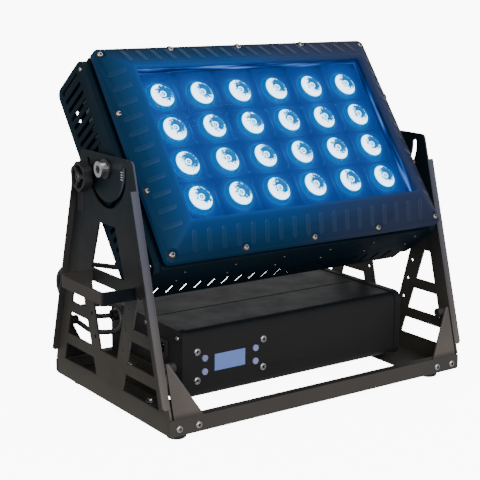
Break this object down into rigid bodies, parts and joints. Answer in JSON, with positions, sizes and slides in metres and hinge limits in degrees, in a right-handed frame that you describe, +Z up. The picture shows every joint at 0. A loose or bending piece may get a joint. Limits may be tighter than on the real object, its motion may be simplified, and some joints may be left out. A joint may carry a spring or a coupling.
{
  "type": "led wash light",
  "caption": "Rectangular lamp head with a glazed lens panel that tilts between two A-shaped side plates of a floor stand, over a power and control box with a display and buttons.",
  "frame": {"origin": "middle of the bounding box's footprint, on the floor under the feet, the link cable left out", "axes": "+X along the lamp's width towards its right side as seen from the front, +Y to the back, +Z up; the beam leaves towards -Y and up"},
  "size_m": [0.5646, 0.33, 0.475],
  "materials": {
    "frame_paint": "black powder coat, fine texture, satin",
    "head_paint": "black powder coat over aluminium, fine texture",
    "box_paint": "black anodised aluminium, satin",
    "steel": "bright turned stainless steel",
    "feet_rubber": "matt black rubber",
    "cable_jacket": "smooth black cable jacket",
    "black_plastic": "black moulded plastic",
    "front_glass": "clear toughened glass",
    "clear_lens": "clear moulded acrylic",
    "circuit_board": "green solder mask",
    "bare_aluminium": "bare aluminium",
    "display_pane": "clear pane over a pale blue display",
    "button_plastic": "pale moulded plastic"
  },
  "bodies": {
    "stand": {"front_bar": "frame_paint", "rear_bar": "frame_paint", "side_plate_left": "frame_paint", "side_plate_right": "frame_paint", "carry_handle": "frame_paint", "psu_bracket_left": "frame_paint", "psu_bracket_right": "frame_paint", "psu_housing": "box_paint", "psu_end_cap_left": "box_paint", "psu_end_cap_right": "box_paint", "foot_front_left": "feet_rubber", "foot_front_right": "feet_rubber", "foot_rear_left": "feet_rubber", "foot_rear_right": "feet_rubber", "link_cable": "cable_jacket", "psu_gland": "black_plastic", "data_socket_in": "black_plastic", "data_socket_out": "black_plastic", "power_inlet": "black_plastic", "control_board": "circuit_board", "driver_board": "circuit_board", "power_supply": "bare_aluminium", "display": "display_pane"},
    "lamp_head": {"bezel": "head_paint", "head_housing": "head_paint", "side_cover_left": "head_paint", "side_cover_right": "head_paint", "lens_plate": "head_paint", "pivot_block_left": "steel", "pivot_block_right": "steel", "pivot_bolt_left": "steel", "pivot_bolt_right": "steel", "pivot_washer_left": "steel", "pivot_washer_right": "steel", "glass_gasket": "feet_rubber", "front_glass": "front_glass", "lens_row_1": "clear_lens", "lens_row_2": "clear_lens", "lens_row_3": "clear_lens", "lens_row_4": "clear_lens", "led_board": "circuit_board", "heat_sink": "bare_aluminium", "head_gland": "black_plastic"},
    "knob_left": {"lock_knob_left": "black_plastic"},
    "knob_right": {"lock_knob_right": "black_plastic"},
    "button_1": {"button_1": "button_plastic"},
    "button_2": {"button_2": "button_plastic"},
    "button_3": {"button_3": "button_plastic"},
    "button_4": {"button_4": "button_plastic"}
  },
  "joints": [
    {"name": "head_tilt", "type": "hinge", "parent": "stand", "child": "lamp_head", "pos_m": [0.0157, -0.00079, 0.327], "axis": [1, 0, 0], "range_deg": [-165, 24], "deforming": ["link_cable"]},
    {"name": "knob_left_turn", "type": "hinge", "parent": "lamp_head", "child": "knob_left", "pos_m": [-0.2423, 0.04459, 0.31137], "axis": [1, 0, 0], "continuous": true},
    {"name": "knob_right_turn", "type": "hinge", "parent": "lamp_head", "child": "knob_right", "pos_m": [0.2737, 0.04459, 0.31137], "axis": [1, 0, 0], "continuous": true},
    {"name": "button_1_press", "type": "slide", "parent": "stand", "child": "button_1", "axis": [0, 1, 0], "range_m": [0, 0.001], "stiffness_N_per_m": 500, "springref_m": -0.0005},
    {"name": "button_2_press", "type": "slide", "parent": "stand", "child": "button_2", "axis": [0, 1, 0], "range_m": [0, 0.001], "stiffness_N_per_m": 500, "springref_m": -0.0005},
    {"name": "button_3_press", "type": "slide", "parent": "stand", "child": "button_3", "axis": [0, 1, 0], "range_m": [0, 0.001], "stiffness_N_per_m": 500, "springref_m": -0.0005},
    {"name": "button_4_press", "type": "slide", "parent": "stand", "child": "button_4", "axis": [0, 1, 0], "range_m": [0, 0.001], "stiffness_N_per_m": 500, "springref_m": -0.0005}
  ]
}
